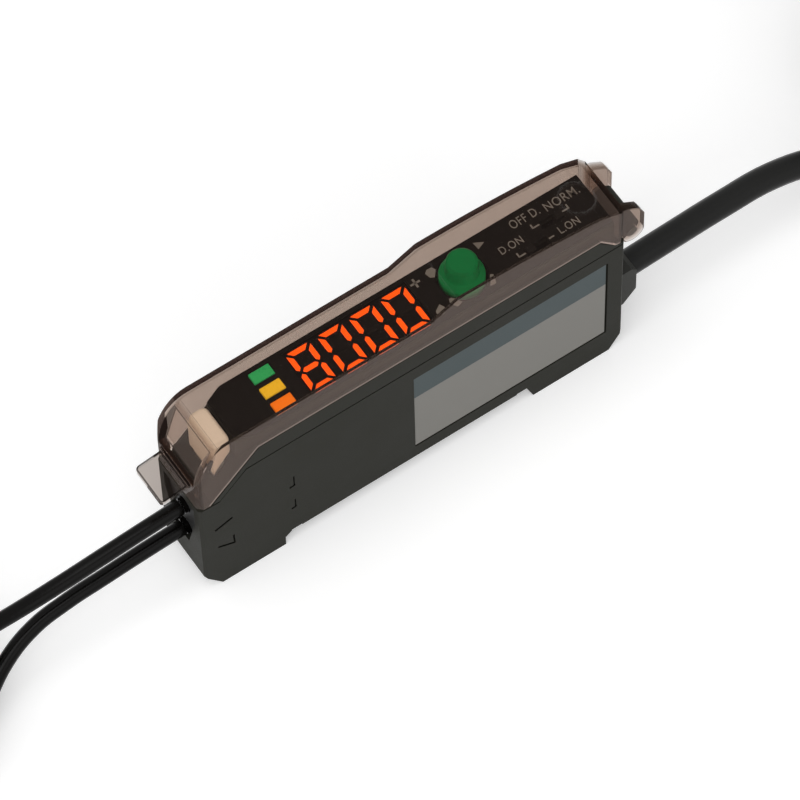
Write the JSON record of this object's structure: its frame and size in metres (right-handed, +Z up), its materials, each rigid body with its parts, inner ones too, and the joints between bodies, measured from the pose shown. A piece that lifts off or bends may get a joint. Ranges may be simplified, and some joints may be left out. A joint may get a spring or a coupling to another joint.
{
  "type": "fibre optic sensor amplifier",
  "caption": "Slim rail-mounted fibre optic sensor amplifier with digital display, jog knob and indicators under a hinged smoky cover, with two plastic fibres and a power cable.",
  "frame": {"origin": "middle of the amplifier's footprint, on the plane of its feet, cords left out", "axes": "+X from the fibre end to the cable end, +Y across the slim width away from the label, +Z up through the display panel"},
  "size_m": [0.2786, 0.0342, 0.0363],
  "materials": {
    "case_grey": "fine spark-eroded texture",
    "panel_black": "satin printed sheet",
    "window_tint": "polished tinted film",
    "digit_orange": "lit bar",
    "bar_unlit": "unlit bar",
    "lens_green": "diffuse lens",
    "lens_yellow": "diffuse lens",
    "lens_orange": "diffuse lens",
    "board_green": "solder mask",
    "chip_black": "moulded epoxy",
    "switch_black": "moulded",
    "knob_green": "satin moulded",
    "holder_black": "moulded",
    "fibre_black": "glossy sheath",
    "diode_metal": "plated can",
    "lock_beige": "satin moulded",
    "clamp_grey": "moulded",
    "spring_steel": "drawn wire",
    "cover_smoke": "polished clear smoky",
    "label_foil": "satin foil",
    "bush_rubber": "matt moulded",
    "cable_black": "satin sheath",
    "core_brown": "insulated wire",
    "tie_white": "satin nylon",
    "head_brass": "turned and nickelled"
  },
  "bodies": {
    "base": {"lower_case": "case_grey", "upper_frame": "case_grey", "panel_sheet": "panel_black", "display_module": "panel_black", "display_window": "window_tint", "digit_bars": "digit_orange", "unlit_bars": "bar_unlit", "indicator_green": "lens_green", "indicator_yellow": "lens_yellow", "indicator_orange": "lens_orange", "display_board": "board_green", "main_board": "board_green", "board_header": "chip_black", "controller_chip": "chip_black", "supply_capacitor": "chip_black", "output_transistor": "chip_black", "jog_switch_base": "switch_black", "mode_switch_case": "switch_black", "timer_switch_case": "switch_black", "fibre_holder": "holder_black", "fibre_tips": "fibre_black", "lower_fibre": "fibre_black", "lower_fibre_coil": "fibre_black", "upper_fibre": "fibre_black", "upper_fibre_coil": "fibre_black", "emitter_diode": "diode_metal", "receiver_diode": "diode_metal", "clamp_spring": "spring_steel", "label_plate": "label_foil", "cable_bush": "bush_rubber", "cable_stub": "cable_black", "power_cable": "cable_black", "power_cable_coil": "cable_black", "inner_cores": "core_brown", "cable_cores": "core_brown", "cable_ties": "tie_white", "fibre_ties": "tie_white", "lower_fibre_head": "head_brass", "upper_fibre_head": "head_brass"},
    "cover": {"cover": "cover_smoke"},
    "jog_rocker": {"jog_rocker": "switch_black"},
    "jog_knob": {"jog_knob": "knob_green"},
    "mode_slider": {"mode_slider": "switch_black"},
    "timer_slider": {"timer_slider": "switch_black"},
    "fibre_lock": {"lock_button": "lock_beige", "fibre_clamp": "clamp_grey"}
  },
  "joints": [
    {"name": "cover_hinge", "type": "hinge", "parent": "base", "child": "cover", "pos_m": [0.03455, 0, 0.0254], "axis": [0, 1, 0], "range_deg": [0, 110]},
    {"name": "jog_tilt", "type": "hinge", "parent": "base", "child": "jog_rocker", "pos_m": [0.011, 0, 0.0295], "axis": [1, 0, 0], "range_deg": [-5, 5], "stiffness_Nm_per_rad": 0.05},
    {"name": "jog_press", "type": "slide", "parent": "jog_rocker", "child": "jog_knob", "axis": [0, 0, -1], "range_m": [0, 0.0005], "stiffness_N_per_m": 1500},
    {"name": "mode_slide", "type": "slide", "parent": "base", "child": "mode_slider", "axis": [1, 0, 0], "range_m": [0, 0.002]},
    {"name": "timer_slide", "type": "slide", "parent": "base", "child": "timer_slider", "axis": [1, 0, 0], "range_m": [-0.002, 0]},
    {"name": "lock_press", "type": "slide", "parent": "base", "child": "fibre_lock", "axis": [0, 0, -1], "range_m": [0, 0.0015], "stiffness_N_per_m": 800, "deforming": ["clamp_spring"]}
  ]
}
